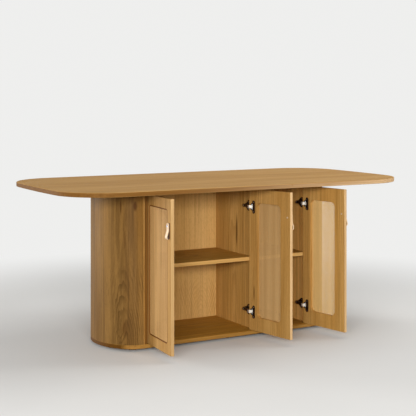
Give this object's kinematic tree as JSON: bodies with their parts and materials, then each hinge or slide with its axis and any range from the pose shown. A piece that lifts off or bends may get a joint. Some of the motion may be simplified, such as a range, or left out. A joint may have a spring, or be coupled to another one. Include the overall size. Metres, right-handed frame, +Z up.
{
  "type": "kitchen table with storage cabinet",
  "caption": "Dining table with a soft-cornered wooden top on a round-ended storage cabinet, with shelved bays behind hinged doors with woven panels and leather loop pulls.",
  "frame": {"origin": "on the floor under the middle of the table, at the underside of the middle glide", "axes": "+X along the table to the right as seen from the doors, +Y from the doors towards the back, +Z up"},
  "size_m": [1.82, 0.9187, 0.75],
  "materials": {
    "oak_top": "oiled oak",
    "oak_case": "oiled oak veneer",
    "oak_inside": "oak veneer",
    "oak_door": "oiled oak",
    "plywood": "raw plywood",
    "weave": "fine open weave",
    "leather": "natural leather",
    "bronze": "dark bronze",
    "nickel": "nickel",
    "zinc": "zinc plated",
    "glide": "matte black"
  },
  "bodies": {
    "cabinet": {"tabletop": "oak_top", "top_board": "oak_case", "bottom_board": "oak_case", "partition": "oak_inside", "back_panel": "oak_inside", "left_shelf": "oak_inside", "right_shelf": "oak_inside", "shelf_supports": "nickel", "carcass_screws": "zinc", "table_screws": "zinc", "glides": "glide", "left_side_panel": "oak_case", "right_side_panel": "oak_case", "left_end_shell": "oak_case", "right_end_shell": "oak_case", "left_end_formers": "plywood", "right_end_formers": "plywood", "left_hinge_links": "nickel", "left_hinge_arms": "bronze", "left_hinge_plates": "bronze", "left_plate_screws": "zinc", "middle_hinge_links": "nickel", "middle_hinge_arms": "bronze", "middle_hinge_plates": "bronze", "middle_plate_screws": "zinc", "right_hinge_links": "nickel", "right_hinge_arms": "bronze", "right_hinge_plates": "bronze", "right_plate_screws": "zinc"},
    "left_door": {"left_door_frame": "oak_door", "left_door_weave": "weave", "left_door_bead": "oak_door", "left_hinge_cups": "bronze", "left_hinge_pins": "zinc", "left_cup_screws": "zinc", "left_pull_loop": "leather", "left_pull_stud": "nickel", "left_pull_screw": "nickel"},
    "middle_door": {"middle_door_frame": "oak_door", "middle_door_weave": "weave", "middle_door_bead": "oak_door", "middle_hinge_cups": "bronze", "middle_hinge_pins": "zinc", "middle_cup_screws": "zinc", "middle_pull_loop": "leather", "middle_pull_stud": "nickel", "middle_pull_screw": "nickel"},
    "right_door": {"right_door_frame": "oak_door", "right_door_weave": "weave", "right_door_bead": "oak_door", "right_hinge_cups": "bronze", "right_hinge_pins": "zinc", "right_cup_screws": "zinc", "right_pull_loop": "leather", "right_pull_stud": "nickel", "right_pull_screw": "nickel"}
  },
  "joints": [
    {"name": "left_door_hinge", "type": "hinge", "parent": "cabinet", "child": "left_door", "pos_m": [-0.432, -0.1945, 0.372], "axis": [0, 0, -1], "range_deg": [-94.7, 10.3]},
    {"name": "middle_door_hinge", "type": "hinge", "parent": "cabinet", "child": "middle_door", "pos_m": [0.12033, -0.1945, 0.372], "axis": [0, 0, 1], "range_deg": [-99, 6]},
    {"name": "right_door_hinge", "type": "hinge", "parent": "cabinet", "child": "right_door", "pos_m": [0.432, -0.1945, 0.372], "axis": [0, 0, 1], "range_deg": [-98.6, 6.4]}
  ]
}
